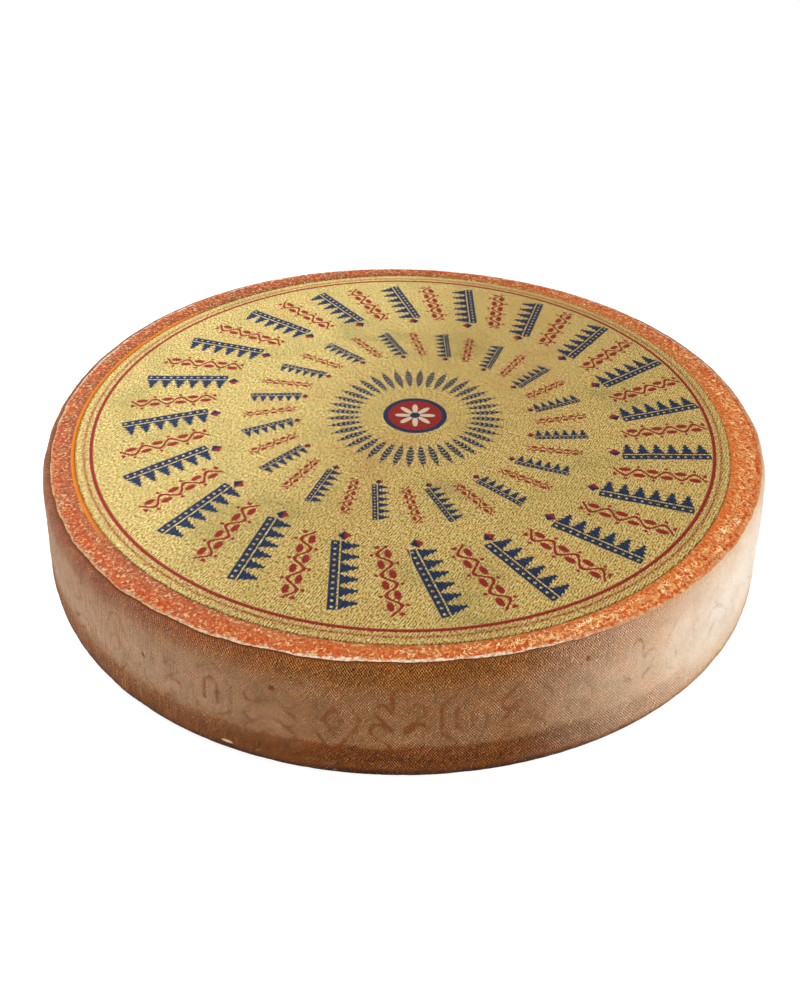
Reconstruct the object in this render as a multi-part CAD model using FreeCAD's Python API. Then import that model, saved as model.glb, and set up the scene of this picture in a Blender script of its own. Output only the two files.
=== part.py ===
import FreeCAD, Part
import math
import os

# A whole wheel of hard mountain cheese with its printed sheet on the top face.
# Millimetres. The origin is at the middle of the foot and +Z points up.

# The wheel
wheel_height = 95.0        # foot to top face
foot_radius = 324.5        # widest radius, just above the foot
side_lean = 10.5           # how much smaller the side's radius is at the top
lean_power = 1.25          # over 1: the side bows out on its way down
rim_width = 28.0           # bare band between the sheet's edge and the side
rim_drop = 1.2             # the band falls away by this much towards the shoulder
shoulder_round = 9.0       # radius of the edge between the band and the side
foot_round = 6.0           # radius of the edge between the side and the underside

# The printed sheet, pressed into the top face
sheet_thickness = 0.5
sheet_stands_proud = 0.1   # what the sheet's edge shows above the band
sheet_clearance = 0.3      # gap between the sheet's edge and the wall of its seat

# An old wheel is never quite round. Each swell is a number of crests round the wheel,
# the height of a crest, and the bearing of the first crest in degrees.
side_swells = ((2, 1.9, 92.0), (3, 0.6, -19.0), (4, 1.3, -39.0))
shoulder_swells = ((1, 4.2, 97.0), (2, 4.9, 9.0), (3, 2.7, 4.0))
height_swells = ((2, 0.35, -39.0), (3, 0.3, 20.0))

# The skin is one smooth surface, drawn towards rings of control points
points_round = 36
side_rings = 4
land_share = 0.08          # the band stays dead level up to this share of its width
corner_reach = 1.757       # rings this many radii either side of a corner give it that radius

# Sizes that follow from those above
sheet_radius = foot_radius - side_lean - rim_width
seat_radius = sheet_radius + sheet_clearance
seat_depth = sheet_thickness - sheet_stands_proud


def swell(swells, turn):
    """Sum of the swells at one bearing, given in radians."""
    total = 0.0
    for crests, height, first in swells:
        total += height * math.cos(crests * (turn - math.radians(first)))
    return total


def side_radius(height):
    """Radius of the side before its edges are rounded."""
    return foot_radius - side_lean * (height / wheel_height) ** lean_power


def band_ring(share, drop_share):
    """A control ring on the band, share 0 at the seat's wall and 1 at the shoulder."""
    radius = seat_radius + share * (side_radius(wheel_height) - seat_radius)
    return radius, wheel_height - drop_share * rim_drop, share, share, drop_share


def side_ring(height, level):
    """A control ring on the side, level 0 under the shoulder and 1 above the foot."""
    fading = 0.6 * (1.0 - level)
    return side_radius(height), height, 0.7 + 0.3 * level, fading, fading


def foot_ring(inset):
    """A control ring on the plane of the underside."""
    return foot_radius - inset, 0.0, 1.0, 0.0, 0.0


def meridian():
    """Control rings from the sheet's seat over the shoulder and the foot to the underside.

    Each is a radius, a height, and its shares of the side, shoulder and height swells.
    """
    shoulder_reach = corner_reach * shoulder_round
    foot_reach = corner_reach * foot_round
    corner_height = wheel_height - rim_drop
    side_top = corner_height - shoulder_reach
    rings = [
        band_ring(land_share, 0.0),
        band_ring(2.0 * land_share, 0.0),
        band_ring(1.0 - shoulder_reach / rim_width, 0.4),
        band_ring(1.0, 1.0),
    ]
    for step in range(side_rings + 2):
        level = step / (side_rings + 1)
        height = side_top + (foot_reach - side_top) * level
        rings.append(side_ring(height, level))
    for reaches in range(3):
        rings.append(foot_ring(reaches * foot_reach))
    return rings


def make_skin():
    """The outside of the wheel, closed on itself all the way round."""
    step = 2.0 * math.pi / points_round
    pull = 3.0 / (2.0 + math.cos(step))    # control points stand outside the curve they shape
    rings = meridian()
    poles = []
    for index in range(points_round):
        turn = index * step
        around = swell(side_swells, turn)
        above = swell(shoulder_swells, turn)
        lift = swell(height_swells, turn)
        row = []
        for radius, height, side_share, shoulder_share, lift_share in rings:
            reach = pull * (radius + side_share * around + shoulder_share * above)
            x, y = reach * math.cos(turn), reach * math.sin(turn)
            row.append(FreeCAD.Vector(x, y, height + lift_share * lift))
        poles.append(row)
    round_knots = list(range(points_round + 1))
    down_knots = list(range(len(rings) - 2))
    round_counts = [1] * len(round_knots)
    down_counts = [4] + [1] * (len(down_knots) - 2) + [4]
    surface = Part.BSplineSurface()
    surface.buildFromPolesMultsKnots(
        poles, round_counts, down_counts, round_knots, down_knots, True, False, 3, 3)
    return surface.toShape()


def closing_face(skin, height):
    """The flat face inside the skin's ring at one height."""
    for edge in skin.Edges:
        box = edge.BoundBox
        if abs(box.ZMin - height) < 0.01 and abs(box.ZMax - height) < 0.01:
            return Part.Face(Part.Wire([edge]))
    raise ValueError("the skin has no ring at this height")


def make_wheel():
    """One solid: the skin, a flat top and a flat underside, with the sheet's seat cut in."""
    skin = make_skin()
    shell = Part.makeShell([skin, closing_face(skin, wheel_height), closing_face(skin, 0.0)])
    shell.sewShape()
    body = Part.makeSolid(shell)
    seat_floor = FreeCAD.Vector(0, 0, wheel_height - seat_depth)
    return body.cut(Part.makeCylinder(seat_radius, 2.0 * seat_depth, seat_floor))


def make_sheet():
    """The round printed sheet, face to face with the floor of its seat."""
    return Part.makeCylinder(sheet_radius, sheet_thickness, FreeCAD.Vector(0, 0, wheel_height - seat_depth))


def main():
    os.makedirs("parts", exist_ok=True)
    nodes = {
        "cheese_wheel": make_wheel(),
        "top_sheet": make_sheet(),
    }
    for name, shape in nodes.items():
        shape.exportStep(os.path.join("parts", name + ".step"))
        box = shape.optimalBoundingBox()
        print(name, "solids", len(shape.Solids), "faces", len(shape.Faces), "valid", shape.isValid())
        print("  size %.2f x %.2f x %.2f mm" % (box.XLength, box.YLength, box.ZLength))
        print("  volume %.1f cm3" % (shape.Volume / 1000.0))


main()
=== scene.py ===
import math
import random
from functools import partial

import bmesh
import bpy
from mathutils import Matrix, Vector, noise


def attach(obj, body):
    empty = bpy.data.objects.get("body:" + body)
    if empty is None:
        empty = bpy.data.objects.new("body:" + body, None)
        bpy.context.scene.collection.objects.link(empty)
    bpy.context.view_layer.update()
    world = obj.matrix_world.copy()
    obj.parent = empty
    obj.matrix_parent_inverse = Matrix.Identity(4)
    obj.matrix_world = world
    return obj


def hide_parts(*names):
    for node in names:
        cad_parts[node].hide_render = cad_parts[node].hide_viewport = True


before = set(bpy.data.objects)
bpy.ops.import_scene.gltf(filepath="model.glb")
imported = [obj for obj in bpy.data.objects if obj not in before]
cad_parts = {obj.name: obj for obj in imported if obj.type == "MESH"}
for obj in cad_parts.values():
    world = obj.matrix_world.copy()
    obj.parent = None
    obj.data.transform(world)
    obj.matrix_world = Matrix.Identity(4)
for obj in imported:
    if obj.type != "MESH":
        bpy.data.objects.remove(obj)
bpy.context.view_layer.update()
print("frame loaded")

mm = 0.001
random.seed(7)


# Shared helpers

def toLinear(hexColour):  # sRGB hex to the linear values that a shader wants
    values = []
    for start in (1, 3, 5):
        value = int(hexColour[start:start + 2], 16) / 255.0
        values.append(value / 12.92 if value <= 0.04045 else ((value + 0.055) / 1.055) ** 2.4)
    return (*values, 1.0)


def smooth(low, high, value):  # 0 below low, 1 above high, eased between
    share = min(1.0, max(0.0, (value - low) / (high - low)))
    return share * share * (3.0 - 2.0 * share)


def bell(away, halfWide):  # 1 in the middle, fading to nothing about two half widths out
    return math.exp(-(away / halfWide) ** 2)


def waves(spot, layers):  # soft random height; each layer has its waves per mm and its height
    return sum(high * noise.noise(spot * often) for often, high in layers)


def addNode(tree, kind, *inputs, out=0, op="ADD", ramp=None, **settings):  # a node, settings, links
    node = tree.nodes.new("ShaderNode" + kind)
    if kind in ("Math", "VectorMath"):
        node.operation = op
    sockets = dict(enumerate(inputs))
    for name, value in settings.items():
        if name in node.inputs:
            sockets[name] = value
        else:
            setattr(node, name, value)
    for key, value in sockets.items():
        if isinstance(value, bpy.types.NodeSocket):
            tree.links.new(value, node.inputs[key])
        elif isinstance(value, str):
            node.inputs[key].default_value = toLinear(value)
        elif value is not None:
            node.inputs[key].default_value = value
    for index, (place, colour) in enumerate(ramp or ()):
        stops = node.color_ramp.elements
        stop = stops[index] if index < len(stops) else stops.new(place)
        stop.position = place
        stop.color = toLinear(colour)
    if not node.outputs:
        return node
    return node.outputs if out == "all" else node.outputs[out]


def newMaterial(name):  # an empty node tree and a way to put nodes in it
    material = bpy.data.materials.new(name)
    material.use_nodes = True
    material.node_tree.nodes.clear()
    return material, partial(addNode, material.node_tree)


def spinProfile(bm, profile, sectors, perSector):  # one narrow sector, then copies of it: far quicker
    edges = [bm.edges.new(pair) for pair in zip(profile, profile[1:])]
    wedge = 2 * math.pi / sectors
    around = {"cent": (0, 0, 0), "axis": (0, 0, 1)}
    bmesh.ops.spin(bm, geom=profile + edges, angle=wedge, steps=perSector, **around)
    sector = list(bm.verts) + list(bm.edges) + list(bm.faces)
    rest = 2 * math.pi - wedge
    bmesh.ops.spin(bm, geom=sector, angle=rest, steps=sectors - 1, use_duplicate=True, **around)
    bmesh.ops.remove_doubles(bm, verts=bm.verts, dist=0.002 * mm)


def closeEnds(bm):
    bmesh.ops.holes_fill(bm, edges=[edge for edge in bm.edges if edge.is_boundary], sides=0)


def finishPiece(bm, name, material, node=None):  # bmesh to a piece that rides on the wheel
    bmesh.ops.recalc_face_normals(bm, faces=bm.faces)
    mesh = bpy.data.meshes.new(name)
    bm.to_mesh(mesh)
    bm.free()
    for polygon in mesh.polygons:
        polygon.use_smooth = True
    mesh.materials.append(material)
    piece = bpy.data.objects.new(name, mesh)
    bpy.context.scene.collection.objects.link(piece)
    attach(piece, "root")
    if node:
        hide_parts(node)
    triangles = sum(len(polygon.vertices) - 2 for polygon in mesh.polygons)
    print(name, "has", triangles, "triangles")
    return piece


# Camera, where someone at a shop counter would stand

camera = {
    "place": (0.0, -0.7753, 0.5964),
    "aim": (-0.0020, 0.0, -0.0015),
    "roll": math.radians(0.66),
    "lens": 36.86,
}


def makeCamera():
    data = bpy.data.cameras.new("counterCamera")
    data.lens = camera["lens"]
    data.sensor_width = 36.0
    data.clip_end = 50.0
    thing = bpy.data.objects.new("counterCamera", data)
    bpy.context.scene.collection.objects.link(thing)
    gaze = Vector(camera["aim"]) - Vector(camera["place"])
    turn = gaze.to_track_quat("-Z", "Y").to_matrix().to_4x4()
    spin = Matrix.Rotation(camera["roll"], 4, "Z")
    thing.matrix_world = Matrix.Translation(camera["place"]) @ turn @ spin
    bpy.context.scene.camera = thing


makeCamera()


# The wheel: paste and rind in one skin

wheel = {
    "height": 95.0,
    "footRadius": 324.5,
    "sideLean": 10.5,
    "leanPower": 1.25,
    "rimWidth": 28.0,
    "rimDrop": 1.2,
    "shoulderRound": 9.0,
    "footRound": 6.0,
    "seatGap": 0.3,
    "seatDepth": 0.4,
    "landShare": 0.08,
    "cornerReach": 1.757,
    "sideRings": 4,
    # each swell is a number of crests, their height and the bearing of the first
    "sideSwells": ((2, 1.9, 92.0), (3, 0.6, -19.0), (4, 1.3, -39.0)),
    "shoulderSwells": ((1, 4.2, 97.0), (2, 4.9, 9.0), (3, 2.7, 4.0)),
    "heightSwells": ((2, 0.35, -39.0), (3, 0.3, 20.0)),
    "sectors": 34,
    "perSector": 30,
    "rowSteps": ((13.0, 2.2), (26.0, 0.8), (101.0, 1.45), (140.0, 1.9)),  # down to, step
    "splineSteps": 1500,
}
wheel["sheetRadius"] = wheel["footRadius"] - wheel["sideLean"] - wheel["rimWidth"]
wheel["seatRadius"] = wheel["sheetRadius"] + wheel["seatGap"]

skin = {  # how far ageing took the rind from the smooth form, in mm; most of it shrank
    "shrunk": 0.8,
    "readAt": 325.0,  # the cylinder on which the noises are read
    "waves": ((0.035, 0.8), (0.16, 0.3)),  # how often and how high
    "shoulderFade": (4.0, 22.0),
    "footFade": (0.3, 8.0),
    "footCrumbs": ((0.1, 1.0), (0.45, 0.5)),
    "footCrumbDeep": 0.45,
    "footCrumbFade": (9.0, 2.0),
}

lip = {  # the ragged edge where the top cloth ended, in mm down the skin from the seat
    "down": 17.6,
    "rightShift": 4.0,
    "waves": ((0.06, 1.3), (0.28, 0.45)),
    "raise": 0.7,
    "raiseHalf": 1.3,
    "undercut": 0.8,
    "undercutHalf": 1.2,
    "undercutBelow": 2.6,
    "reach": 9.0,
}

relief = {  # marks that the mould pressed into the side, plain farmhouse shapes
    "count": 44,
    "middle": 66.5,
    "between": (32.0, 101.0),
    "halfStroke": 4.0,
    "strokeWaves": ((0.11, 1.1), (0.4, 0.5)),
    "wornOften": 0.02,
    "raise": 0.75,
    "grooveOut": 1.2,
    "grooveHalf": 1.6,
    "grooveDeep": 0.65,
    "browning": ((0.07, 0.9),),
}
markStrokes = (  # right half of each mark, in mm about its middle
    ((0, 22, 13, 0), (13, 0, 0, -22), (0, 2, 0, -2)),
    ((0, -22, 0, 22), (0, -19, 15, -7), (0, -3, 13, 9)),
    ((0, 22, 11, 10), (11, 10, 11, -8), (11, -8, 0, -16), (0, -22, 0, 8)),
    ((0, 21, 14, 9), (0, 5, 14, -7), (0, -11, 14, -21)),
)

chips = (  # knocks at the foot: bearing in degrees, mm down the skin, half length and half height
    (-112.3, 107.0, 4.5, 1.7),
    (-38.0, 108.0, 3.5, 1.5),
    (41.0, 107.5, 6.0, 2.0),
    (128.0, 106.0, 5.0, 1.8),
)
chipDeep = 0.9
pits = (  # bearing in degrees, mm down the skin, radius in mm
    (-125.7, 62.0, 1.5),
    (-106.1, 47.5, 2.2),
    (-65.0, 38.5, 1.8),
    (-31.0, 72.0, 1.3),
    (14.0, 55.0, 1.8),
    (63.0, 81.0, 2.2),
    (118.0, 44.0, 1.6),
    (164.0, 70.0, 1.4),
)
pitDeep = 2.0


def swell(swells, turn):
    return sum(tall * math.cos(crests * (turn - math.radians(first))) for crests, tall, first in swells)


def sideRadius(height):
    lean = (max(height, 0.0) / wheel["height"]) ** wheel["leanPower"]
    return wheel["footRadius"] - wheel["sideLean"] * lean


def controlRings():  # radius, height, and shares of the side, shoulder and height swells
    shoulderReach = wheel["cornerReach"] * wheel["shoulderRound"]
    footReach = wheel["cornerReach"] * wheel["footRound"]
    sideTop = wheel["height"] - wheel["rimDrop"] - shoulderReach
    land = wheel["landShare"]
    rings = []
    bend = 1 - shoulderReach / wheel["rimWidth"]
    for share, drop in ((land, 0.0), (2 * land, 0.0), (bend, 0.4), (1.0, 1.0)):
        radius = wheel["seatRadius"] + share * (sideRadius(wheel["height"]) - wheel["seatRadius"])
        rings.append((radius, wheel["height"] - drop * wheel["rimDrop"], share, share, drop))
    for step in range(wheel["sideRings"] + 2):
        level = step / (wheel["sideRings"] + 1)
        height = sideTop + (footReach - sideTop) * level
        fading = 0.6 - 0.6 * level
        rings.append((sideRadius(height), height, 0.7 + 0.3 * level, fading, fading))
    for reaches in range(3):
        rings.append((wheel["footRadius"] - reaches * footReach, 0.0, 1.0, 0.0, 0.0))
    return rings


def splinePoint(rings, place):  # a cubic spline that starts and ends on its end rings
    last = len(rings) - 3
    knots = [0] * 3 + list(range(last + 1)) + [last] * 3
    span = min(int(place), last - 1) + 3
    points = rings[span - 3:span + 1]
    for level in range(1, 4):
        for index in range(3, level - 1, -1):
            low = knots[span - 3 + index]
            share = (place - low) / (knots[span + 1 + index - level] - low)
            points[index] = [a + share * (b - a) for a, b in zip(points[index - 1], points[index])]
    return points[3]


def meridian():  # rows down the skin, each with its distance from the start of the band
    rings = controlRings()
    last = len(rings) - 3
    steps = wheel["splineSteps"]
    dense = [splinePoint(rings, last * index / steps) for index in range(steps + 1)]
    rows = []
    walked = due = 0.0
    for before, after in zip(dense, dense[1:]):
        if walked >= due:
            rows.append((before, walked))
            due += next(step for downTo, step in wheel["rowSteps"] if due < downTo)
        walked += math.hypot(after[0] - before[0], after[1] - before[1])
    rows.append((dense[-1], walked))
    return rows


def strokeDistance(x, y, ax, ay, bx, by):
    dx, dy = bx - ax, by - ay
    share = max(0.0, min(1.0, ((x - ax) * dx + (y - ay) * dy) / (dx * dx + dy * dy)))
    return math.hypot(x - ax - share * dx, y - ay - share * dy)


def markDistance(turn, down):  # to the nearest stroke of the mark at this bearing
    place = turn / (2 * math.pi) * relief["count"]
    index = math.floor(place + 0.5)
    x = abs(place - index) * 2 * math.pi * wheel["footRadius"] / relief["count"]
    y = relief["middle"] - down
    strokes = markStrokes[index % len(markStrokes)]
    return min(strokeDistance(x, y, *stroke) for stroke in strokes)


def rightShare(turn):  # the side that dried first
    return smooth(0.4, 1.0, math.cos(turn - math.radians(-30.0)))


def leftShare(turn):  # the side that was rubbed smooth
    return smooth(0.5, 1.0, math.cos(turn - math.radians(-150.0)))


def aroundWheel(turn, height):
    return Vector((math.cos(turn) * skin["readAt"], math.sin(turn) * skin["readAt"], height))


def lipDown(turn):  # where the ragged edge runs at this bearing
    ragged = waves(aroundWheel(turn, 0.0), lip["waves"])
    return lip["down"] + lip["rightShift"] * rightShare(turn) + ragged


def offset(turn, walked, bearing, level):  # mm round the wheel and down the skin from a place on it
    return (turn - math.radians(bearing)) * wheel["footRadius"], walked - level


def wheelPoint(row, walked, turn, toLip):  # reach, height and how deep in a crease the point is
    radius, height, sideShare, shoulderShare, heightShare = row
    flat = walked <= 0.5 or height < 0.3    # beside the sheet and underneath
    reach = radius + sideShare * swell(wheel["sideSwells"], turn)
    reach += shoulderShare * swell(wheel["shoulderSwells"], turn)
    height += heightShare * swell(wheel["heightSwells"], turn)
    crease = 0.0
    if flat:
        return reach, height, crease
    spot = aroundWheel(turn, height)
    body = smooth(*skin["shoulderFade"], walked) * smooth(*skin["footFade"], height)
    reach -= body * (skin["shrunk"] + waves(spot, skin["waves"]))
    if abs(toLip) < lip["reach"]:
        cut = lip["undercut"] * bell(toLip - lip["undercutBelow"], lip["undercutHalf"])
        cut *= 1.0 - 0.8 * rightShare(turn)
        reach += lip["raise"] * bell(toLip, lip["raiseHalf"]) - cut
        height -= 0.5 * cut
        # under the lip's overhang the crease value paints shade into the rind colour
        crease = 0.7 * cut / lip["undercut"]
    if height < skin["footCrumbFade"][0]:
        crumb = max(0.0, waves(spot, skin["footCrumbs"]))
        reach -= skin["footCrumbDeep"] * crumb * smooth(*skin["footCrumbFade"], height)
    if relief["between"][0] < walked < relief["between"][1]:
        distance = markDistance(turn, walked) + waves(spot, relief["strokeWaves"])
        worn = 0.6 + 0.4 * smooth(-0.3, 0.3, noise.noise(spot * relief["wornOften"]))
        worn *= (1.0 - 0.6 * rightShare(turn)) * (1.0 - 0.5 * leftShare(turn))
        pastStroke = distance - relief["halfStroke"]
        raised = relief["raise"] * (smooth(1.4, -1.0, pastStroke) - 1.0)
        line = bell(pastStroke - relief["grooveOut"], relief["grooveHalf"])
        reach += worn * (raised - relief["grooveDeep"] * line)
        crease = worn * line * (0.75 + waves(spot, relief["browning"]))
        for bearing, level, size in pits:
            away = math.hypot(*offset(turn, walked, bearing, level))
            if away < 3 * size:
                hole = bell(away, size)
                reach -= pitDeep * hole
                crease = max(crease, 1.6 * hole)
    elif walked > relief["between"][1]:
        for bearing, level, long, high in chips:
            along, down = offset(turn, walked, bearing, level)
            away = math.hypot(along / long, down / high)
            if away < 3:
                hole = math.exp(-away ** 4)
                reach -= chipDeep * hole
                crease = -hole
    return reach, height, crease


def makeWheelMesh():
    seat = wheel["seatRadius"]
    start = -wheel["landShare"] * (sideRadius(wheel["height"]) - seat)
    rows = [((seat, wheel["height"] - wheel["seatDepth"], 0, 0, 0), start - wheel["seatDepth"])]
    rows += [((seat, wheel["height"], 0, 0, 0), start)]
    rows += meridian()
    bm = bmesh.new()
    rowOf = bm.verts.layers.int.new("rowOf")
    down = bm.verts.layers.float.new("down")
    crease = bm.verts.layers.float.new("crease")
    pastLip = bm.verts.layers.float.new("pastLip")
    profile = []
    for index, (row, walked) in enumerate(rows):
        vert = bm.verts.new((row[0] * mm, 0.0, row[1] * mm))
        vert[rowOf] = index
        vert[down] = walked
        profile.append(vert)
    spinProfile(bm, profile, wheel["sectors"], wheel["perSector"])
    for vert in bm.verts:
        row, walked = rows[vert[rowOf]]
        turn = math.atan2(vert.co.y, vert.co.x)
        lipAt = lipDown(turn)
        reach, height, vert[crease] = wheelPoint(row, walked, turn, walked - lipAt)
        vert.co = Vector((reach * math.cos(turn), reach * math.sin(turn), height)) * mm
        vert[pastLip] = walked - lipAt
    closeEnds(bm)
    return bm


# Washed rind: brine-rubbed for months, so the band is damp orange with dried pale flecks.
# The side keeps the print of the linen it was pressed in, brown where the cloth stayed damp
# and chalky where it dried, and all of it is matt. The paler right is partly painted light,
# and the dark under the lip and at the foot is partly painted shade.
rind = {
    "bandWarm": "#C46A30",
    "bandDusky": "#AC5838",
    "bandBright": "#DE6E20",
    "bandBack": "#7A3A22",
    "bandDeep": "#C84E14",
    "bandShade": "#7E2C0A",
    "wetEdge": "#EC8216",
    "fleck": "#FADCA0",
    "fleckTan": "#E0A468",
    "lipPale": "#F0D8BC",
    "lipTan": "#CFA272",
    "lipStraw": "#E4B070",
    "underLip": "#4E1C0A",
    "threadGap": "#381400",
    "threadPale": "#E6D0B6",
    "blush": "#A87460",
    "crack": "#552A12",
    "creaseBrown": "#74380A",
    "chipPaste": "#E4CCA0",
    "rubbedPale": "#D8B898",
    # near the foot every ramp darkens: browner rind, and from about 110 mm down painted shade where the
    # side turns under
    "front": ((20, "#703C0E"), (34, "#724010"), (44, "#845834"), (80, "#8A603C"), (87, "#845832"),
              (90, "#582802"), (102, "#4E2200"), (106, "#5E2E06"), (109, "#542806"), (112, "#2A1204"),
              (116, "#240E02"), (119, "#6A4426")),
    # the left ramp's first stops, 20 to 26 mm down, are a painted shadow under the lip
    "left": ((20, "#86483A"), (26, "#925C4A"), (40, "#B08A6C"), (76, "#B49478"), (87, "#A47C5C"),
             (96, "#8C5A38"), (105, "#7C4A28"), (109, "#6A3C20"), (113, "#3A1E0C"), (118, "#6A4426")),
    # the pale turning and right ramps are partly real dry bloom and partly painted light from the right
    "turning": ((20, "#C4946A"), (34, "#C89C78"), (60, "#D0B294"), (87, "#CCAA88"), (91, "#C49C78"),
                (106, "#BC926E"), (112, "#7C5230"), (118, "#6A4426")),
    "right": ((20, "#E0C2A0"), (30, "#E6D3BC"), (66, "#ECE1D2"), (90, "#E8D8C4"), (104, "#DEC6AA"),
              (110, "#B88C66"), (118, "#7A5232")),
    "threadTops": ((20, "#D48A3A"), (34, "#D08E46"), (46, "#CCA070"), (86, "#CCA070"), (90, "#B8702E"),
                   (108, "#B06824")),
    "printHold": ((20, "#FFFFFF"), (34, "#FFFFFF"), (46, "#CCCCCC"), (87, "#CCCCCC"), (91, "#FFFFFF"),
                  (106, "#F0F0F0"), (110, "#000000")),
    "sideFrom": 20.0,  # the ramps above run from here to the next, in mm down the skin
    "sideTo": 120.0,
    "linenThreads": 980,  # round the wheel, a 2.1 mm pair; the real cloth is finer, too fine to show
    "weftShare": 0.8,  # the threads that run round it lie a little further apart
    # scale and detail of the noises: broad, patch, stain, bloom, crumb, grain
    "noises": ((9.0, 3.0), (34.0, 4.0), (75.0, 3.0), (150.0, 4.0), (260.0, 3.0), (620.0, 3.0)),
    "fineScale": 430.0,
    "curlScales": ((150.0, 0.024), (270.0, 0.034)),  # and the half width of the line
    "rightBearing": -25.0,
    "leftBearing": -150.0,
    "backBearing": 130.0,
    "whiteLipBearing": -86.0,
    "wetBearing": 178.0,
    "bumpDeep": 0.7,
    "gloss": 0.16,
}


def awayFrom(put, value, middle):  # how far a value is from its middle, either way
    return put("Math", put("Math", value, middle, op="SUBTRACT"), op="ABSOLUTE")


def towards(put, flatUnit, bearing, low, high):  # 0 to 1 as a point turns to face a bearing
    turn = math.radians(bearing)
    aim = (math.cos(turn), math.sin(turn), 0.0)
    facing = put("VectorMath", flatUnit, aim, op="DOT_PRODUCT", out="Value")
    return put("MapRange", facing, low, high, interpolation_type="SMOOTHSTEP")


def downRamp(stops):  # stops given in mm down the skin, as shares of the side
    reach = rind["sideTo"] - rind["sideFrom"]
    return [((down - rind["sideFrom"]) / reach, colour) for down, colour in stops]


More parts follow.
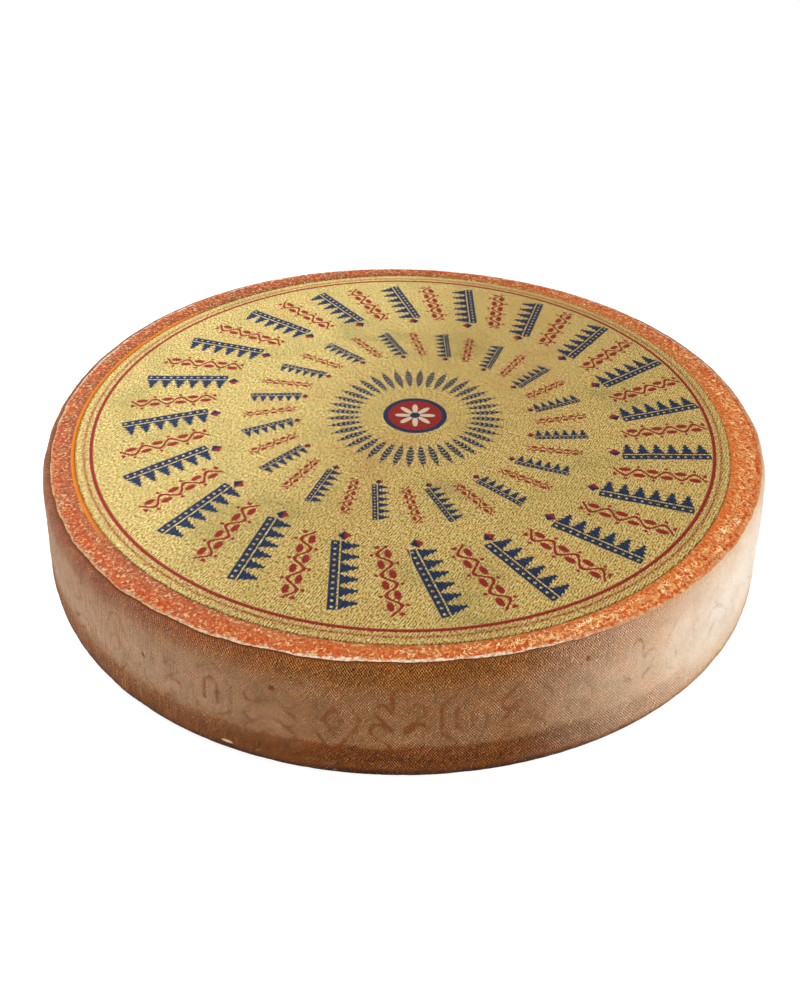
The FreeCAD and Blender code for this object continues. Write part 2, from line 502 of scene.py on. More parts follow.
def rindMaterial():
    material, put = newMaterial("washedRind")
    coords = put("TexCoord", out="Object")
    x, y, z = put("SeparateXYZ", coords, out="all")
    down = put("Attribute", out="Fac", attribute_name="down")
    crease = put("Attribute", out="Fac", attribute_name="crease")
    pastLip = put("Attribute", out="Fac", attribute_name="pastLip")
    flat = put("VectorMath", coords, (1.0, 1.0, 0.0), op="MULTIPLY")
    flatUnit = put("VectorMath", flat, op="NORMALIZE")
    bearing = put("Math", y, x, op="ARCTAN2")

    # noises from a hand's breadth down to a grain of salt
    broad, patch, stain, bloom, crumb, grain = [
        put("TexNoise", coords, Scale=scale, Detail=detail)
        for scale, detail in rind["noises"]]
    fine = put("TexNoise", coords, Scale=rind["fineScale"], Detail=2.0, Distortion=0.5)
    broadShift = put("Math", broad, 0.5, op="SUBTRACT")
    patchShift = put("Math", patch, 0.5, op="SUBTRACT")
    crumbShift = put("Math", crumb, 0.5, op="SUBTRACT")

    # how far a point faces the dried right or the rubbed left; the right is also made paler by painted
    # light
    toRight = towards(put, flatUnit, rind["rightBearing"], 0.6, 1.04)
    toRight = put("Math", patchShift, 0.14, toRight, op="MULTIPLY_ADD")
    toRight = put("Math", crumbShift, 0.16, toRight, op="MULTIPLY_ADD", use_clamp=True)
    toLeft = towards(put, flatUnit, rind["leftBearing"], 0.6, 1.02)

    # colours of the side from the shoulder to the foot
    waver = put("Math", broadShift, 5.0, op="MULTIPLY")
    waver = put("Math", patchShift, 6.0, waver, op="MULTIPLY_ADD")
    waver = put("Math", crumbShift, 9.0, waver, op="MULTIPLY_ADD")
    level = put("Math", down, waver)
    level = put("MapRange", level, rind["sideFrom"], rind["sideTo"])
    ramps = {}
    for name in ("front", "left", "turning", "right", "threadTops", "printHold"):
        ramps[name] = put("ValToRGB", level, ramp=downRamp(rind[name]))
    side = put("MixRGB", toLeft, ramps["front"], ramps["left"])
    # towards the right the side turns pale: partly real dry bloom, partly painted light from the right
    side = put("MixRGB", put("MapRange", toRight, 0.0, 0.65), side, ramps["turning"])
    side = put("MixRGB", put("MapRange", toRight, 0.68, 1.0), side, ramps["right"])
    lift = put("MapRange", patch, 0.3, 0.7, 0.93, 1.07)
    side = put("HueSaturation", Value=lift, Color=side)
    blush = put("MapRange", stain, 0.5, 0.7, 0.0, 0.4)
    side = put("MixRGB", blush, side, rind["blush"], blend_type="SOFT_LIGHT")

    # long rub marks that run up and down the side
    streakPlace = put("CombineXYZ", put("Math", bearing, 260.0, op="MULTIPLY"),
                      put("Math", down, 0.045, op="MULTIPLY"), 0.0)
    streak = put("TexNoise", streakPlace, Scale=1.0, Detail=3.0)
    streakMask = put("MapRange", streak, 0.55, 0.68, 0.0, 0.5)
    streakHere = put("MapRange", toLeft, 0.0, 1.0, 0.12, 1.0)
    streakMask = put("Math", streakMask, streakHere, op="MULTIPLY")
    side = put("MixRGB", streakMask, side, rind["creaseBrown"])
    rubbed = put("MapRange", streak, 0.46, 0.34, 0.0, 0.25)
    side = put("MixRGB", put("Math", rubbed, toLeft, op="MULTIPLY"), side, rind["rubbedPale"])

    # linen print: a plain weave, tan where a thread stood and dark in the gaps between,
    # read round and down the side but straight across the underside
    underneath = put("MapRange", z, 0.0002, 0.0006, 1.0, 0.0)
    perMm = rind["linenThreads"] / wheel["footRadius"]
    slip = put("Math", crumbShift, 10.0, op="MULTIPLY")
    linen = 1.0
    for onSide, pace, onFoot, footPace in (
            (bearing, float(rind["linenThreads"]), x, 1000 * perMm),
            (down, perMm * rind["weftShare"], y, 1000 * perMm * rind["weftShare"])):
        sidePhase = put("Math", onSide, pace, op="MULTIPLY")
        footPhase = put("Math", onFoot, footPace, op="MULTIPLY")
        phase = put("MapRange", underneath, 0.0, 1.0, sidePhase, footPhase)
        wave = put("Math", put("Math", phase, slip), op="SINE")
        linen = put("Math", wave, linen, op="MULTIPLY")
    linen = put("MapRange", linen, -0.5, 0.5, -1.0, 1.0)
    brown = put("MapRange", put("RGBToBW", side), 0.08, 0.6, 1.0, 0.12)
    damp = put("Math", brown, ramps["printHold"], op="MULTIPLY")
    for source, low, high, least, most in (
            (patch, 0.3, 0.65, 0.7, 1.25),
            (crumb, 0.35, 0.65, 0.4, 1.6),
            (grain, 0.38, 0.62, 0.4, 1.6),
            (toLeft, 0.0, 1.0, 1.0, 0.5)):
        share = put("MapRange", source, low, high, least, most)
        damp = put("Math", damp, share, op="MULTIPLY")
    lit = put("Math", linen, damp, op="MULTIPLY")
    gaps = put("MapRange", lit, 0.0, -1.0)
    tops = put("MapRange", lit, 0.0, 1.0, 0.0, 0.62)
    # thread tops turn paler towards the right, partly as painted light there
    paler = put("MapRange", toRight, 0.0, 0.5)
    threadTop = put("MixRGB", paler, ramps["threadTops"], rind["threadPale"])
    side = put("MixRGB", gaps, side, rind["threadGap"])
    side = put("MixRGB", tops, side, threadTop)
    salt = put("MapRange", grain, 0.35, 0.65, -0.4, 0.4)
    salt = put("Math", salt, put("MapRange", stain, 0.35, 0.65, -0.16, 0.16))
    salt = put("Math", salt, brown, 1.0, op="MULTIPLY_ADD")
    side = put("HueSaturation", Value=salt, Color=side)
    speck = put("MapRange", grain, 0.6, 0.7, 0.0, 0.6)
    speck = put("Math", speck, put("MapRange", toRight, 0.2, 0.8, 1.0, 0.0), op="MULTIPLY")
    side = put("MixRGB", speck, side, rind["crack"])
    crumbled = put("Math", crumbShift, 0.6, crease, op="MULTIPLY_ADD")
    for source, low, high, most, tone in (  # pale salt, worn creases and the painted shade under the lip, pits, chips
            (grain, 0.38, 0.3, 0.5, "fleckTan"),
            (crumbled, 0.16, 0.75, 0.78, "creaseBrown"),
            (crease, 1.0, 1.5, 0.8, "crack"),
            (crease, -0.25, -0.6, 0.85, "chipPaste")):
        side = put("MixRGB", put("MapRange", source, low, high, 0.0, most), side, rind[tone])

    # the band: rubbed orange, deeper towards the lip, with dried flecks and dark pores
    band = put("MixRGB", toLeft, rind["bandWarm"], rind["bandDusky"])
    # towards the right the band turns brighter orange: painted light from the right
    band = put("MixRGB", toRight, band, rind["bandBright"])
    toBack = towards(put, flatUnit, rind["backBearing"], 0.0, 0.9)
    band = put("MixRGB", put("Math", toBack, 0.8, op="MULTIPLY"), band, rind["bandBack"])
    outward = put("MapRange", down, 1.0, 12.0, 0.1, 0.8)
    stained = put("MapRange", stain, 0.4, 0.6, 0.35, 1.25)
    outward = put("Math", outward, stained, op="MULTIPLY", use_clamp=True)
    band = put("MixRGB", outward, band, rind["bandDeep"])
    shade = put("MapRange", fine, 0.46, 0.36, 0.0, 0.6)
    band = put("MixRGB", shade, band, rind["bandShade"])
    band = put("MixRGB", put("MapRange", bloom, 0.52, 0.7, 0.0, 0.25), band, rind["fleckTan"])
    crowd = put("MapRange", stain, 0.36, 0.62, 0.048, 0.0)
    fleck = put("MapRange", put("Math", fine, crowd), 0.6, 0.66)
    fleck = put("Math", fleck, put("MapRange", toRight, 0.0, 1.0, 1.0, 0.2), op="MULTIPLY")
    curlLine = 0.0
    for scale, width in rind["curlScales"]:
        curl = put("TexNoise", coords, Scale=scale, Detail=1.0, Distortion=1.8)
        line = put("MapRange", awayFrom(put, curl, 0.5), width, 0.4 * width)
        curlLine = put("Math", line, curlLine, op="MAXIMUM")
    curlLine = put("Math", curlLine, put("MapRange", fine, 0.5, 0.56), op="MULTIPLY")
    curlHere = put("MapRange", toRight, 0.0, 1.0, 0.5, 1.0)
    curlLine = put("Math", curlLine, curlHere, op="MULTIPLY")
    fleck = put("Math", fleck, curlLine, op="MAXIMUM")
    fleckHold = put("MapRange", toRight, 0.0, 1.0, 0.6, 0.78)
    band = put("MixRGB", put("Math", fleck, fleckHold, op="MULTIPLY"), band, rind["fleck"])

    # the lip between band and side: its inner edge is ragged, its outer edge clean and shaded
    ragged = put("Math", crumbShift, 7.0, pastLip, op="MULTIPLY_ADD")
    ragged = put("Math", patchShift, 4.0, ragged, op="MULTIPLY_ADD")
    ragged = put("Math", toLeft, -0.7, ragged, op="MULTIPLY_ADD")
    lipColour = put("MixRGB", toLeft, rind["lipPale"], rind["lipTan"])
    lipColour = put("MixRGB", toRight, lipColour, rind["lipStraw"])
    cracked = put("MapRange", fine, 0.5, 0.6, 0.0, 0.45)
    lipColour = put("MixRGB", cracked, lipColour, rind["creaseBrown"])
    lipBand = put("MapRange", ragged, -2.1, -1.0)
    # the lip shows fuller where it faces the front: partly its real pale rind, partly a painted
    # highlight along the raised edge
    crisp = towards(put, flatUnit, rind["whiteLipBearing"], 0.94, 0.98)
    crisp = put("Math", crisp, toLeft, op="MAXIMUM")
    lipHold = put("MapRange", put("Math", crumb, crisp), 0.44, 0.66, 0.2, 0.95)
    top = put("MixRGB", put("Math", lipBand, lipHold, op="MULTIPLY"), band, lipColour)
    sideHere = put("MapRange", pastLip, 0.5, 1.1)
    lipShade = put("MapRange", awayFrom(put, pastLip, 1.6), 0.2, 1.1, 0.8, 0.0)
    lipShade = put("Math", lipShade, put("MapRange", toRight, 0.0, 0.6, 1.0, 0.0), op="MULTIPLY")
    side = put("MixRGB", lipShade, side, rind["underLip"])
    colour = put("MixRGB", sideHere, top, side)

    # the damp line beside the sheet, on the left
    wetRing = put("MapRange", down, 1.0, 0.2)
    wetLeft = towards(put, flatUnit, rind["wetBearing"], 0.7, 0.86)
    wet = put("Math", wetRing, wetLeft, op="MULTIPLY")
    colour = put("MixRGB", wet, colour, rind["wetEdge"])

    # relief finer than the mesh, about a fifth of a millimetre
    linenHigh = put("Math", linen, 0.14, op="MULTIPLY")
    bandHigh = put("Math", fleck, 0.5, op="MULTIPLY")
    high = put("MixRGB", sideHere, bandHigh, linenHigh)
    high = put("Math", crumb, 0.8, high, op="MULTIPLY_ADD")
    high = put("Math", grain, 0.35, high, op="MULTIPLY_ADD")
    bump = put("Bump", Strength=1.0, Distance=rind["bumpDeep"] * mm, Height=high)
    rough = put("MapRange", grain, 0.3, 0.7, 0.55, 0.8)
    rough = put("Math", sideHere, 0.08, rough, op="MULTIPLY_ADD")
    shader = put("BsdfPrincipled", Roughness=rough, Normal=bump, IOR=1.45,
                 **{"Base Color": colour, "Specular IOR Level": rind["gloss"]})
    put("OutputMaterial", shader)
    return material


finishPiece(makeWheelMesh(), "cheeseWheelRind", rindMaterial(), "cheese_wheel")


# Dried curls of rind that the brush left lying on the band, most of them on the dried side
curls = {
    "shapes": 12,
    "tries": 4200,
    "fewest": 0.1,
    "alongBand": (4.0, 17.0),
    "length": (2.4, 6.0),
    "thick": (0.32, 0.5),
    "bend": (0.8, 2.6),
    "heading": 0.8,  # how far they turn from the way round the wheel, in radians
    "thinning": 0.75,
    "flattened": 0.7,
    "sides": 5,
    "steps": 5,
    "sunk": 0.42,
    "tones": ((0.32, "#DC8440"), (0.5, "#F0BC74"), (0.66, "#FFE6B0")),
    "toneScale": 140.0,
    "grainScale": 1400.0,
}


def skinPoint(rows, walked, turn):  # a place on the finished skin, in mm
    index = next(index for index, (row, reached) in enumerate(rows) if reached > walked)
    before, after = rows[index - 1], rows[index]
    share = (walked - before[1]) / (after[1] - before[1])
    row = [a + share * (b - a) for a, b in zip(before[0], after[0])]
    reach, height = wheelPoint(row, walked, turn, walked - lipDown(turn))[:2]
    return Vector((reach * math.cos(turn), reach * math.sin(turn), height))


def curlShape(length, thick, bend):  # a bowed sliver about its own middle, thin at both ends
    bm = bmesh.new()
    radius = length / bend
    circle = bmesh.ops.create_circle(bm, segments=curls["sides"], radius=thick * mm)
    ring = circle["verts"]
    bmesh.ops.rotate(bm, verts=ring, matrix=Matrix.Rotation(math.pi / 2, 3, "X"))
    bmesh.ops.translate(bm, verts=ring, vec=(radius * mm, 0.0, 0.0))
    bmesh.ops.spin(bm, geom=bm.verts[:] + bm.edges[:], cent=(0, 0, 0), axis=(0, 0, 1), angle=bend,
                   steps=curls["steps"])
    closeEnds(bm)
    bmesh.ops.recalc_face_normals(bm, faces=bm.faces)
    middle = Vector((radius * math.cos(bend / 2), radius * math.sin(bend / 2), 0.0)) * mm
    for vert in bm.verts:
        along = math.atan2(vert.co.y, vert.co.x) / bend * 2 - 1
        waist = 1.0 - curls["thinning"] * along * along
        spine = vert.co.xy.normalized() * radius * mm
        flat = spine + (vert.co.xy - spine) * waist
        vert.co = Vector((flat.x, flat.y, curls["flattened"] * waist * vert.co.z)) - middle
    shape = bpy.data.meshes.new("curlShape")
    bm.to_mesh(shape)
    bm.free()
    return shape


def makeCurlsMesh():
    rows = meridian()
    shapes = []
    for _ in range(curls["shapes"]):
        thick = random.uniform(*curls["thick"])
        length = random.uniform(*curls["length"])
        shapes.append((curlShape(length, thick, random.uniform(*curls["bend"])), thick))
    bm = bmesh.new()
    laid = 0
    for _ in range(curls["tries"]):
        turn = random.uniform(-math.pi, math.pi)
        walked = random.uniform(*curls["alongBand"])
        heading = random.gauss(0.0, curls["heading"])
        shape, thick = random.choice(shapes)
        if random.random() > curls["fewest"] + (1.0 - curls["fewest"]) * rightShare(turn):
            continue
        place = skinPoint(rows, walked, turn)
        outward = (skinPoint(rows, walked + 0.6, turn) - place).normalized()
        around = (skinPoint(rows, walked, turn + 0.002) - place).normalized()
        up = outward.cross(around).normalized()
        lifted = thick * curls["flattened"] * (1.0 - 2.0 * curls["sunk"])
        spot = (place + up * lifted) * mm
        axes = Matrix((around, outward, up)).transposed().to_4x4()
        lay = Matrix.Translation(spot) @ axes @ Matrix.Rotation(heading, 4, "Z")
        before = len(bm.verts)
        bm.from_mesh(shape)
        for vert in bm.verts[before:]:
            vert.co = lay @ vert.co
        laid += 1
    print(laid, "curls laid on the band")
    return bm


# Dried rind: straw-coloured and matt, a little darker where it is still damp
def curlMaterial():
    material, put = newMaterial("driedRindCurl")
    coords = put("TexCoord", out="Object")
    tone = put("TexNoise", coords, Scale=curls["toneScale"], Detail=2.0)
    colour = put("ValToRGB", tone, ramp=curls["tones"])
    grain = put("TexNoise", coords, Scale=curls["grainScale"], Detail=2.0)
    bump = put("Bump", Strength=0.6, Distance=0.0002, Height=grain)
    rough = put("MapRange", grain, 0.3, 0.7, 0.6, 0.85)
    shader = put("BsdfPrincipled", Roughness=rough, Normal=bump, IOR=1.45,
                 **{"Base Color": colour, "Specular IOR Level": 0.2})
    put("OutputMaterial", shader)
    return material


finishPiece(makeCurlsMesh(), "driedCurls", curlMaterial())


# The printed sheet in its seat

sheet = {
    "radius": wheel["sheetRadius"],
    "top": 95.06,
    "bottom": 94.64,
    "sectors": 48,
    "perSector": 34,
    "rings": 26,
    "innerRing": 40.0,
    "edgeGap": 0.2,
    "edgeRound": 0.05,
    "tooth": 0.5,  # every second column of the edge is cut in by this much
    "dip": 0.2,
    "waves": ((0.022, 0.5),),
}


def makeSheetMesh():
    step = (sheet["radius"] - 1.0 - sheet["innerRing"]) / (sheet["rings"] - 1)
    edge = sheet["radius"] - sheet["edgeGap"]
    path = [(sheet["innerRing"] + step * index, sheet["top"]) for index in range(sheet["rings"])]
    path += [(edge, sheet["top"] - sheet["edgeRound"]), (edge, sheet["bottom"])]
    bm = bmesh.new()
    profile = [bm.verts.new((radius * mm, 0.0, height * mm)) for radius, height in path]
    spinProfile(bm, profile, sheet["sectors"], sheet["perSector"])
    columns = sheet["sectors"] * sheet["perSector"]
    for vert in bm.verts:
        turn = math.atan2(vert.co.y, vert.co.x)
        column = round(turn / (2 * math.pi) * columns)
        if vert.co.xy.length > (edge - 0.4) * mm and column % 2:
            pull = 1.0 - sheet["tooth"] / sheet["radius"]
            vert.co.x *= pull
            vert.co.y *= pull
        if vert.co.z > (sheet["bottom"] + 0.1) * mm:
            spot = Vector((vert.co.x, vert.co.y, 0.0)) / mm
            vert.co.z -= sheet["dip"] * mm * (0.5 + waves(spot, sheet["waves"]))
    closeEnds(bm)
    return bm


# Gold-printed paper pressed on under cheesecloth: matt ink in two colours over straw gold,
# and the cloth has left short slanting thread marks in it, pale on top and olive between.
printed = {
    "straw": "#FFF7B8",
    "gold": "#EAC566",
    "gap": "#7E6226",
    "leaf": "#A4A650",
    "pink": "#D09468",
    "moss": "#8E8A48",
    "rust": "#BC8048",
    # multiplied over the right and front of the sheet: painted shade, with some real discolouration
    "shadeAndStain": "#DED6CC",
    "blue": "#0A2C58",
    "red": "#9C1E22",
    "dashes": "#A0482A",
    "cream": "#EFE3C6",
    "edge": "#4A3A14",
    "scratch": "#F0E2A4",
    "centreShift": 10.7,
    "threadPitch": 2.0,  # a guess, coarse enough to show
    "dashWidth": 1.25,
    "dashLength": 2.6,
    "threadTurn": 62.0,
    # scale and detail of the noises: wander, mottle, blot, tint
    "noises": ((90.0, 2.0), (11.0, 4.0), (60.0, 3.0), (480.0, 1.0)),
    "ears": (40, 5.0, 64.0),  # how many, first bearing, middle radius
    "disc": 25.0,  # radii of the roundel, then of the border
    "rim": 26.5,
    "rimHalf": 2.2,
    "petal": 18.0,
    "heart": 4.6,
    "borderRadius": 272.5,
    "borderHalf": 1.55,
    "dashRadius": 278.4,
    "dashHalf": 1.0,
    "bumpDeep": 0.4,
    "gloss": 0.16,
}
friezes = (  # how many, first bearing, middle radius, slant in degrees, size
    (20, 4.0, 221.0, 15.0, 1.04),
    (16, 10.0, 131.0, 15.0, 0.64),
)
firSizes = {  # in mm, before the size above is applied
    "halfLength": 36.6, "barBelow": 6.6, "barHalf": 3.2, "dotPitch": 6.1, "dot": 1.1,
    "pitch": 12.2, "footBelow": 2.2, "tall": 13.4, "halfFoot": 6.2, "halfTip": 1.6,
    "tier": 4.2, "tierCut": 2.2, "trunkHalf": 1.0, "gemOut": 42.0, "gem": 5.2,
}
vineSizes = {
    "halfLength": 37.0, "swing": 4.6, "halfWave": 11.0, "stemHalf": 1.5,
    "leafOut": 3.4, "leaf": 2.7, "berryOut": 8.6, "berry": 1.5,
}
scratches = (  # start, end and bow of each hairline in the print, in mm
    ((-10, -128), (3, -178), 1.5),
    ((2, -176), (22, -268), -3.0),
    ((-118, 96), (-52, 142), 9.0),
    ((-112, 88), (-30, 118), -6.0),
    ((84, 160), (142, 128), 5.0),
    ((-170, -60), (-128, -104), -4.0),
)


def under(put, distance, edge, soft=0.4):  # 1 where a distance is under an edge, in mm
    return put("MapRange", distance, edge + soft, edge - soft)


def repeatPlace(put, u, pitch):  # signed distance from the middle of the nearest repeat
    share = put("Math", put("Math", u, pitch, op="DIVIDE"), op="FRACT")
    return put("Math", put("Math", share, 0.5, op="SUBTRACT"), pitch, op="MULTIPLY")


def cellPlace(put, angle, radius, count, first, middle, slant=0.0):  # place in the nearest cell
    wedge = 2 * math.pi / count
    turn = put("Math", angle, wedge / 2 - math.radians(first))
    turn = repeatPlace(put, turn, wedge)
    outward = put("Math", turn, op="COSINE")
    outward = put("Math", radius, outward, -middle, op="MULTIPLY_ADD")
    sideways = put("Math", radius, put("Math", turn, op="SINE"), op="MULTIPLY")
    local = put("CombineXYZ", outward, sideways, 0.0)
    turned = put("VectorRotate", Vector=local, Angle=math.radians(-slant), rotation_type="Z_AXIS")
    return put("SeparateXYZ", turned, out="all")[:2]


def firFrieze(put, u, v, size):  # a row of small firs over a dotted bar
    fir = {part: length * size for part, length in firSizes.items()}
    inLength = under(put, put("Math", u, op="ABSOLUTE"), fir["halfLength"])
    barAway = put("Math", v, fir["barBelow"])
    bar = under(put, put("Math", barAway, op="ABSOLUTE"), fir["barHalf"])
    dotAway = put("CombineXYZ", repeatPlace(put, u, fir["dotPitch"]), barAway, 0.0)
    dots = under(put, put("VectorMath", dotAway, op="LENGTH", out="Value"), fir["dot"])
    bar = put("Math", bar, dots, op="SUBTRACT", use_clamp=True)
    across = put("Math", repeatPlace(put, u, fir["pitch"]), op="ABSOLUTE")
    rise = put("Math", v, fir["footBelow"])
    tier = put("Math", put("Math", rise, fir["tier"], op="DIVIDE"), op="FRACT")
    halfWide = put("MapRange", rise, 0.0, fir["tall"], fir["halfFoot"], fir["halfTip"])
    halfWide = put("Math", tier, -fir["tierCut"], halfWide, op="MULTIPLY_ADD")
    halfWide = put("Math", halfWide, fir["trunkHalf"], op="MAXIMUM")
    tree = under(put, put("Math", across, halfWide, op="SUBTRACT"), 0.3 * size)
    tree = put("Math", tree, under(put, rise, fir["tall"]), op="MULTIPLY")
    tree = put("Math", tree, put("Math", rise, 0.0, op="GREATER_THAN"), op="MULTIPLY")
    return put("Math", put("Math", tree, bar, op="MAXIMUM"), inLength, op="MULTIPLY")


def gem(put, u, v, size):  # a lozenge at the inner end of a frieze
    away = put("Math", awayFrom(put, u, -firSizes["gemOut"] * size), put("Math", v, op="ABSOLUTE"))
    return under(put, away, firSizes["gem"] * size)


def vineFrieze(put, u, v, size):  # a wavy stem with a leaf in each bend and a berry across from it
    vine = {part: length * size for part, length in vineSizes.items()}
    inLength = under(put, put("Math", u, op="ABSOLUTE"), vine["halfLength"])
    swing = put("Math", u, math.pi / vine["halfWave"], op="MULTIPLY")
    swing = put("Math", swing, op="SINE")
    away = put("Math", swing, -vine["swing"], v, op="MULTIPLY_ADD")
    stem = under(put, put("Math", away, op="ABSOLUTE"), vine["stemHalf"])
    bend = put("Math", swing, op="SIGN")
    bendU = repeatPlace(put, u, vine["halfWave"])
    leafV = put("Math", bend, vine["leafOut"], v, op="MULTIPLY_ADD")
    leafPlace = put("CombineXYZ", put("Math", bendU, 0.55, op="MULTIPLY"), leafV, 0.0)
    leaf = under(put, put("VectorMath", leafPlace, op="LENGTH", out="Value"), vine["leaf"])
    berryV = put("Math", bend, -vine["berryOut"], v, op="MULTIPLY_ADD")
    berryPlace = put("CombineXYZ", bendU, berryV, 0.0)
    berry = under(put, put("VectorMath", berryPlace, op="LENGTH", out="Value"), vine["berry"])
    made = put("Math", put("Math", stem, leaf, op="MAXIMUM"), berry, op="MAXIMUM")
    return put("Math", made, inLength, op="MULTIPLY")


def ears(put, u, v):  # a thin barley ear with slanting grains
    taper = put("Math", put("Math", u, 16.5, op="DIVIDE"), 2.0, op="POWER")
    halfWide = put("Math", taper, -3.2, 3.2, op="MULTIPLY_ADD")
    away = put("Math", v, op="ABSOLUTE")
    body = under(put, put("Math", away, halfWide, op="SUBTRACT"), 0.0)
    slanted = put("Math", away, 0.8, u, op="MULTIPLY_ADD")
    split = put("Math", repeatPlace(put, slanted, 4.4), op="ABSOLUTE")
    grains = put("MapRange", split, 1.3, 2.0, 1.0, 0.2)
    return put("Math", body, grains, op="MULTIPLY")


def hairline(put, inMm, start, end, bow):  # a thin bowed line from start to end
    middle = (Vector(start) + Vector(end)) / 2
    run = Vector(end) - Vector(start)
    moved = put("VectorMath", inMm, (*middle, 0.0), op="SUBTRACT")
    turned = put("VectorRotate", Vector=moved, Angle=-math.atan2(run.y, run.x), rotation_type="Z_AXIS")
    u, v = put("SeparateXYZ", turned, out="all")[:2]
    reach = put("Math", put("Math", u, run.length / 2, op="DIVIDE"), 2.0, op="POWER")
    away = put("Math", put("Math", reach, bow, v, op="MULTIPLY_ADD"), op="ABSOLUTE")
    ends = under(put, reach, 0.9, 0.1)
    return put("Math", under(put, away, 0.35, 0.3), ends, op="MULTIPLY")


def sheetMaterial():
    material, put = newMaterial("goldPrintedPaper")
    coords = put("TexCoord", out="Object")
    inMm = put("VectorMath", coords, (1000.0, 1000.0, 0.0), op="MULTIPLY")

    wander, mottle, blot, tint = [
        put("TexNoise", coords, Scale=scale, Detail=detail)
        for scale, detail in printed["noises"]]

    # thread marks of the cloth
    drift = put("Math", put("Math", wander, 0.5, op="SUBTRACT"), 5.0, op="MULTIPLY")
    turned = put("VectorRotate", Vector=inMm, Angle=math.radians(-printed["threadTurn"]),
                 rotation_type="Z_AXIS")
    along, across = put("SeparateXYZ", turned, out="all")[:2]
    across = put("Math", across, put("Math", drift, 0.5, op="MULTIPLY"))
    ridge = put("Math", across, 2 * math.pi / printed["threadPitch"], op="MULTIPLY")
    ridge = put("Math", ridge, op="SINE")
    dashPlace = put("VectorMath", put("CombineXYZ", along, across, 0.0),
                    (printed["dashLength"], printed["dashWidth"], 1.0), op="DIVIDE")
    dash = put("TexNoise", dashPlace, Scale=1.0, Detail=2.0, Roughness=0.6)
    thread = put("Math", put("Math", dash, 0.5, op="SUBTRACT"), 5.0, op="MULTIPLY")
    thread = put("Math", ridge, 0.26, thread, op="MULTIPLY_ADD")
    thread = put("MapRange", thread, -0.64, 0.64)

    # straw gold, dirtier and greener in patches
    tones = ((0.0, printed["gap"]), (0.45, printed["gold"]), (1.0, printed["straw"]))
    ground = put("ValToRGB", thread, ramp=tones)
    moss = put("MapRange", mottle, 0.5, 0.66, 0.0, 0.42)
    moss = put("Math", moss, put("MapRange", blot, 0.4, 0.6, 0.3, 1.0), op="MULTIPLY")
    ground = put("MixRGB", moss, ground, printed["moss"])
    rust = put("MapRange", mottle, 0.47, 0.34, 0.0, 0.3)
    rust = put("Math", rust, put("MapRange", blot, 0.6, 0.4, 0.2, 1.0), op="MULTIPLY")
    ground = put("MixRGB", rust, ground, printed["rust"])
    ground = put("MixRGB", put("MapRange", tint, 0.54, 0.66, 0.0, 0.35), ground, printed["leaf"])
    ground = put("MixRGB", put("MapRange", tint, 0.45, 0.35, 0.0, 0.4), ground, printed["pink"])

    # polar place about the middle of the print, a little off the middle of the sheet
    slipped = put("VectorMath", inMm, (-printed["centreShift"], 0.0, 0.0))
    px, py = put("SeparateXYZ", slipped, out="all")[:2]
    bleed = put("Math", put("Math", thread, 0.5, op="SUBTRACT"), 0.45, op="MULTIPLY")
    px = put("Math", px, bleed)
    py = put("Math", py, put("Math", drift, 0.3, op="MULTIPLY"))
    angle = put("Math", py, px, op="ARCTAN2")
    radius = put("VectorMath", put("CombineXYZ", px, py, 0.0), op="LENGTH", out="Value")
    outer = put("VectorMath", inMm, op="LENGTH", out="Value")
    outer = put("Math", outer, put("Math", bleed, 0.7, op="MULTIPLY"))

    blue = 0.0
    red = 0.0
    for count, first, middle, slant, size in friezes:
        u, v = cellPlace(put, angle, radius, count, first, middle, slant)
        redGem = gem(put, u, v, size)
        blueGem = put("Math", redGem, put("Math", v, 0.0, op="LESS_THAN"), op="MULTIPLY")
        firs = put("Math", firFrieze(put, u, v, size), blueGem, op="MAXIMUM")
        blue = put("Math", firs, blue, op="MAXIMUM")
        u, v = cellPlace(put, angle, radius, count, first + 180.0 / count, middle, slant)
        vines = put("Math", vineFrieze(put, u, v, size), redGem, op="MAXIMUM")
        red = put("Math", vines, red, op="MAXIMUM")
    u, v = cellPlace(put, angle, radius, *printed["ears"])
    blue = put("Math", blue, ears(put, u, v), op="MAXIMUM")

    # roundel in the middle: a plain flower on a red disc in a dark ring
    disc = under(put, radius, printed["disc"])
    rim = under(put, awayFrom(put, radius, printed["rim"]), printed["rimHalf"])
    petal = put("Math", put("Math", angle, 4.0, op="MULTIPLY"), op="COSINE")
    petal = put("Math", put("Math", petal, op="ABSOLUTE"), printed["petal"], op="MULTIPLY")
    flower = under(put, put("Math", radius, petal, op="SUBTRACT"), 0.0)
    heart = under(put, radius, printed["heart"])
    red = put("Math", red, disc, op="MAXIMUM")
    blue = put("Math", blue, put("Math", rim, heart, op="MAXIMUM"), op="MAXIMUM")

    # border line and the worn dashes outside it
    border = under(put, awayFrom(put, outer, printed["borderRadius"]), printed["borderHalf"])
    dashRing = awayFrom(put, outer, printed["dashRadius"])
    worn = put("MapRange", thread, 0.4, 0.8, 0.95, 0.3)
    dashes = put("Math", under(put, dashRing, printed["dashHalf"]), worn, op="MULTIPLY")
    halo = under(put, dashRing, 2.6, 1.6)
    red = put("Math", red, border, op="MAXIMUM")

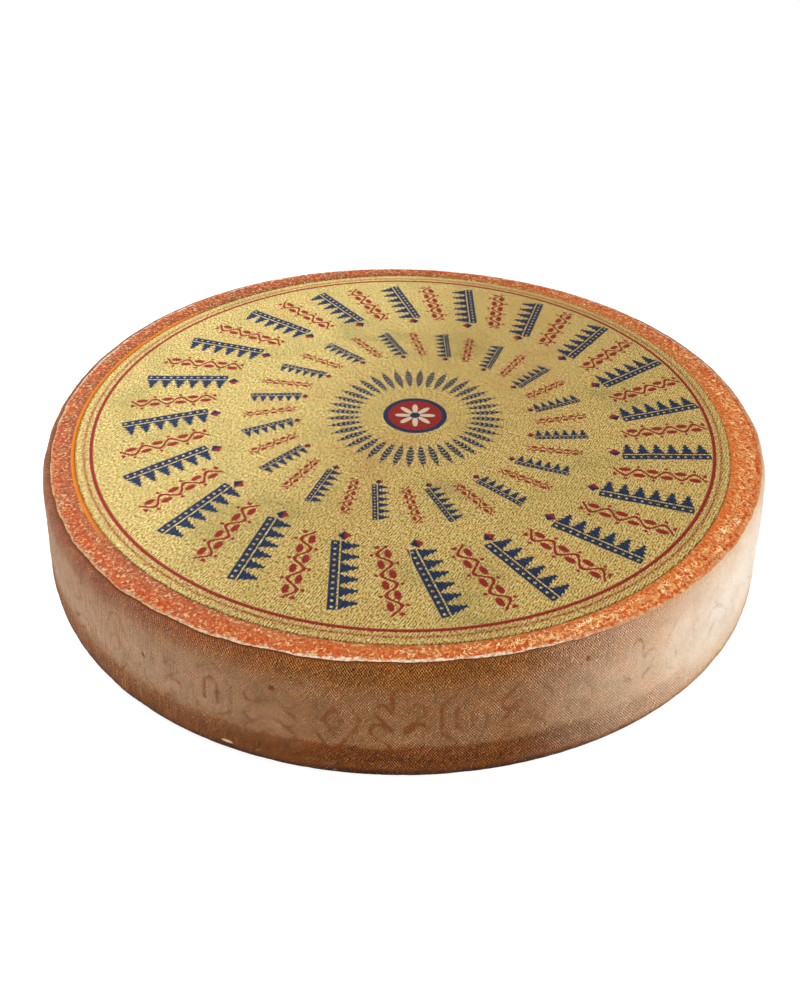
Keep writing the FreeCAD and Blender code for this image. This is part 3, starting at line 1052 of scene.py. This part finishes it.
    hold = put("MapRange", thread, 0.2, 1.0, 1.0, 0.95)
    colour = put("MixRGB", put("Math", halo, 0.25, op="MULTIPLY"), ground, printed["rust"])
    colour = put("MixRGB", dashes, colour, printed["dashes"])
    colour = put("MixRGB", put("Math", red, hold, op="MULTIPLY"), colour, printed["red"])
    colour = put("MixRGB", put("Math", flower, 0.92, op="MULTIPLY"), colour, printed["cream"])
    colour = put("MixRGB", put("Math", blue, hold, op="MULTIPLY"), colour, printed["blue"])
    rubbed = 0.0
    for start, end, bow in scratches:
        rubbed = put("Math", hairline(put, inMm, start, end, bow), rubbed, op="MAXIMUM")
    rubbed = put("Math", rubbed, put("MapRange", tint, 0.4, 0.55, 0.35, 0.85), op="MULTIPLY")
    colour = put("MixRGB", rubbed, colour, printed["scratch"])
    cut = put("MapRange", outer, sheet["radius"] - 1.9, sheet["radius"] - 0.9)
    cut = put("Math", cut, put("MapRange", thread, 0.7, 0.3, 0.2, 0.8), op="MULTIPLY")
    colour = put("MixRGB", cut, colour, printed["edge"])
    # painted shade over the right and front of the sheet, where less light falls, with some real
    # discolouration there
    nearFront = put("VectorMath", inMm, (0.8, -0.35, 0.0), op="DOT_PRODUCT", out="Value")
    shadeAndStain = put("MapRange", nearFront, -125.0, 20.0, interpolation_type="SMOOTHSTEP")
    colour = put("MixRGB", shadeAndStain, colour, printed["shadeAndStain"], blend_type="MULTIPLY")

    high = put("Math", blot, 0.5, thread, op="MULTIPLY_ADD")
    bump = put("Bump", Strength=1.0, Distance=printed["bumpDeep"] * mm, Height=high)
    rough = put("MapRange", thread, 0.0, 1.0, 0.75, 0.6)
    shader = put("BsdfPrincipled", Roughness=rough, Normal=bump, IOR=1.45,
                 **{"Base Color": colour, "Specular IOR Level": printed["gloss"]})
    put("OutputMaterial", shader)
    return material


finishPiece(makeSheetMesh(), "printedSheet", sheetMaterial(), "top_sheet")


# Floor, lamps and surroundings

floorLook = {
    "shade": 0.8,
    "seenShade": 0.5,
    "seenGlow": 0.72,
    "farGlow": 0.86,
    "farFrom": (0.8, 2.6),  # metres from the middle
}
lamps = {  # where it stands, what it faces, size in metres, power in watts
    "leftWindow": ((-1.0, 0.75, 0.95), (-0.05, 0.0, 0.09), (1.1, 0.8), 19.0),
    "rightSoftbox": ((1.35, -0.55, 0.42), (0.1, 0.0, 0.05), (0.7, 0.6), 10.0),
    "frontFill": ((-0.5, -1.6, 1.1), (0.0, 0.0, 0.05), (1.4, 1.0), 16.0),
}
worldGlow = 0.42


def makeFloor():
    bm = bmesh.new()
    bmesh.ops.create_grid(bm, x_segments=1, y_segments=1, size=12.0)
    mesh = bpy.data.meshes.new("floor")
    bm.to_mesh(mesh)
    bm.free()
    material, put = newMaterial("paintedFloor")
    rays = put("LightPath", out="all")
    seen = put("Math", rays["Is Camera Ray"], rays["Is Glossy Ray"], op="MAXIMUM")
    matt = put("BsdfDiffuse", (*[floorLook["shade"]] * 3, 1.0))
    pale = put("BsdfDiffuse", (*[floorLook["seenShade"]] * 3, 1.0))
    away = put("VectorMath", put("TexCoord", out="Object"), op="LENGTH", out="Value")
    glow = put("MapRange", away, *floorLook["farFrom"], floorLook["seenGlow"], floorLook["farGlow"])
    glow = put("Emission", Strength=glow)
    put("OutputMaterial", put("MixShader", seen, matt, put("AddShader", pale, glow)))
    mesh.materials.append(material)
    floor = bpy.data.objects.new("floor", mesh)
    bpy.context.scene.collection.objects.link(floor)


def makeLamps():
    for name, (place, aim, size, power) in lamps.items():
        data = bpy.data.lights.new(name, "AREA")
        data.shape = "RECTANGLE"
        data.size, data.size_y = size
        data.energy = power
        thing = bpy.data.objects.new(name, data)
        bpy.context.scene.collection.objects.link(thing)
        turn = (Vector(aim) - Vector(place)).to_track_quat("-Z", "Y").to_matrix().to_4x4()
        thing.matrix_world = Matrix.Translation(place) @ turn
    world = bpy.data.worlds.new("studio")
    bpy.context.scene.world = world
    world.use_nodes = True
    world.node_tree.nodes.clear()
    put = partial(addNode, world.node_tree)
    seen = put("LightPath", out="Is Camera Ray")
    strength = put("MapRange", seen, 0.0, 1.0, worldGlow, 1.0)
    put("OutputWorld", put("Background", Strength=strength, Color=(1.0, 1.0, 1.0, 1.0)))


makeFloor()
makeLamps()
bpy.context.scene.view_settings.view_transform = "Standard"
print("stage set")
